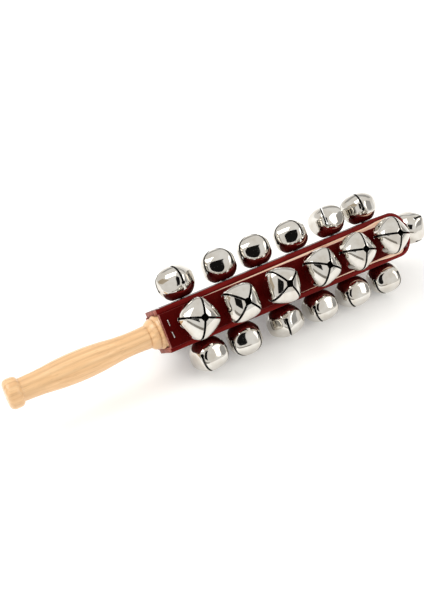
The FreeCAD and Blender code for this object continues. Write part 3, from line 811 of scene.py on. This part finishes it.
def bell_place(joint, row, number):
    """A bell's frame: Z out of the leather along its rivet, X along its row."""
    out = Vector(joint["axis"]).normalized()
    if row == "tip":
        along = STICK.to_3x3() @ Vector((0, 0, -1))
    else:
        along = Vector((1, 0, 0))
    along = (along - out * along.dot(out)).normalized()
    across = out.cross(along)
    basis = Matrix((along, across, out)).transposed().to_4x4()
    base = Vector(joint["pos_m"]) - out * (EQUATOR * MM)
    turn = Matrix.Rotation(math.radians(BELL_TURNS[row][number - 1]), 4, "Z")
    return Matrix.Translation(base) @ basis @ turn


def make_bells():
    mesh = make_bell_mesh()
    for joint in frame["joints"]:
        if not joint["name"].startswith("swivel_"):
            continue
        label = joint["name"].removeprefix("swivel_")
        row, number = (label.split("_") + ["1"])[:2]
        bell = bpy.data.objects.new(f"plated_bell_{label}", mesh.copy())
        bpy.context.scene.collection.objects.link(bell)
        put_in_place(bell, bell_place(joint, row, int(number)))
        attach(bell, joint["child"])
        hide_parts(f"bell_{label}")


def make_pellets():
    """Tumbled balls, each a little out of round and dented."""
    for joint in frame["joints"]:
        if not joint["name"].startswith("rattle_"):
            continue
        label = joint["name"].removeprefix("rattle_")
        low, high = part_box(f"pellet_{label}")
        mesh = bmesh.new()
        bmesh.ops.create_icosphere(mesh, subdivisions=4, radius=(high.x - low.x) / 2)
        directions = np.array([vertex.co.normalized() for vertex in mesh.verts])
        dents = RNG.normal(size=(7, 3))
        dents /= np.linalg.norm(dents, axis=1)[:, None]
        for vertex, near in zip(mesh.verts, (directions @ dents.T).max(1)):
            vertex.co *= 1 - 0.02 * float(smooth_step((near - 0.9) / 0.1))
        data = bpy.data.meshes.new(f"ball_{label}")
        mesh.transform(Matrix.Translation((low + high) / 2))
        mesh.to_mesh(data)
        mesh.free()
        data.polygons.foreach_set("use_smooth", [True] * len(data.polygons))
        data.materials.append(PELLET_STEEL)
        ball = bpy.data.objects.new(f"ball_{label}", data)
        bpy.context.scene.collection.objects.link(ball)
        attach(ball, joint["child"])
        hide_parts(f"pellet_{label}")


def dress_rivets():
    """The rivets keep their shape and get worn steel."""
    for name, node in frame["nodes"].items():
        if name.startswith("rivet"):
            node.data.materials.clear()
            node.data.materials.append(RIVET_STEEL)


# ---------------------------------------------------------------------- studio

def add_stage(name, size, place, toward, material):
    """A flat sheet facing a point; it isn't part of the object."""
    half_width, half_height = size[0] / 2, size[1] / 2
    corners = [(-half_width, -half_height, 0), (half_width, -half_height, 0),
               (half_width, half_height, 0), (-half_width, half_height, 0)]
    mesh = bpy.data.meshes.new(name)
    mesh.from_pydata(corners, [], [(0, 1, 2, 3)])
    mesh.materials.append(material)
    sheet = bpy.data.objects.new(name, mesh)
    bpy.context.scene.collection.objects.link(sheet)
    sheet.location = place
    direction = Vector(toward) - Vector(place)
    sheet.rotation_euler = direction.to_track_quat("Z", "Y").to_euler()
    return sheet


def only_in_reflections(sheet):
    """The sheet is seen in polished metal and nowhere else."""
    sheet.visible_camera = False
    sheet.visible_diffuse = False
    sheet.visible_shadow = False
    sheet.visible_transmission = False
    sheet.visible_volume_scatter = False


def add_card(name, size, place, toward, brightness, colour):
    """A card of even brightness that shows only in reflections."""
    surface = Surface(name, (0.0, 0.0, 0.0), 1.0)
    surface.set("Specular IOR Level", 0.0)
    surface.set("Emission Color", (*colour, 1.0))
    surface.set("Emission Strength", brightness)
    only_in_reflections(add_stage(name, size, place, toward, surface.material))


def add_area(name, place, toward, size, power, colour=(1.0, 1.0, 1.0)):
    light = bpy.data.lights.new(name, "AREA")
    light.shape = "RECTANGLE"
    light.size, light.size_y = size
    light.energy = power
    light.color = colour
    lamp = bpy.data.objects.new(name, light)
    bpy.context.scene.collection.objects.link(lamp)
    lamp.location = place
    lamp.rotation_euler = (Vector(toward) - Vector(place)).to_track_quat("-Z", "Y").to_euler()


# The photo's viewpoint, in metres and degrees.
CAMERA_PLACE = Vector((-0.1811, -0.2419, 0.3096))
CAMERA_TURN = (46.92, -1.12, -31.90)
CAMERA_LENS = 37.89
# Cards round the part: name, size, place, the point faced, brightness, colour.
CARD_WHITE = (1.0, 0.99, 0.97)
CARDS = (
    ("back_card", (2.6, 0.35), (0.75, 1.1, 0.42), (0, 0, 0.1), 0.45, CARD_WHITE),
    ("warm_card", (0.8, 0.45), (-1.0, 0.25, 0.40), (0, 0, 0.05), 0.55, (1.0, 0.86, 0.66)),
    ("right_card", (0.9, 0.4), (1.0, -0.5, 0.40), (0, 0, 0.1), 0.40, CARD_WHITE),
    ("low_card", (1.1, 0.16), (-0.50, -0.75, 0.10), (0, 0, 0.03), 0.30, (1.0, 0.94, 0.84)),
)


def make_studio():
    floor = add_stage("floor", (6.0, 6.0), (0, 0, 0), (0, 0, 1), make_floor_paper())
    floor.rotation_euler = (0, 0, 0)
    away = CAMERA_PLACE.normalized()
    add_card("camera_card", (0.40, 0.40), CAMERA_PLACE + away * 0.22, (0.02, 0, 0.04), 0.01,
             CARD_WHITE)
    for card in CARDS:
        add_card(*card)

    world = bpy.data.worlds.new("studio")
    bpy.context.scene.world = world
    world.use_nodes = True
    background = world.node_tree.nodes["Background"].inputs
    background["Color"].default_value = (1.0, 0.985, 0.955, 1.0)
    background["Strength"].default_value = 0.92

    add_area("key", (-0.7, 0.5, 1.1), (0.02, 0, 0.03), (0.8, 0.8), 9.0)
    add_area("fill", (0.9, -0.7, 0.8), (0.05, 0, 0.03), (0.9, 0.6), 3.0, (1.0, 0.97, 0.92))

    camera = bpy.data.cameras.new("camera")
    camera.lens = CAMERA_LENS
    camera.sensor_width = 36.0
    camera.clip_start = 0.01
    view = bpy.data.objects.new("camera", camera)
    bpy.context.scene.collection.objects.link(view)
    view.location = CAMERA_PLACE
    view.rotation_euler = [math.radians(angle) for angle in CAMERA_TURN]
    bpy.context.scene.camera = view
    bpy.context.scene.view_settings.view_transform = "Standard"


make_stick()
make_strap("leather_front_back", "strap_front_back", CORE_END, 2, ("front", "back"), 3)
make_strap("leather_top_bottom", "strap_top_bottom", CORE_END + STRAP_THICKNESS, 1,
           ("top", "bottom"), 8)
make_staples()
make_bells()
make_pellets()
dress_rivets()
make_studio()
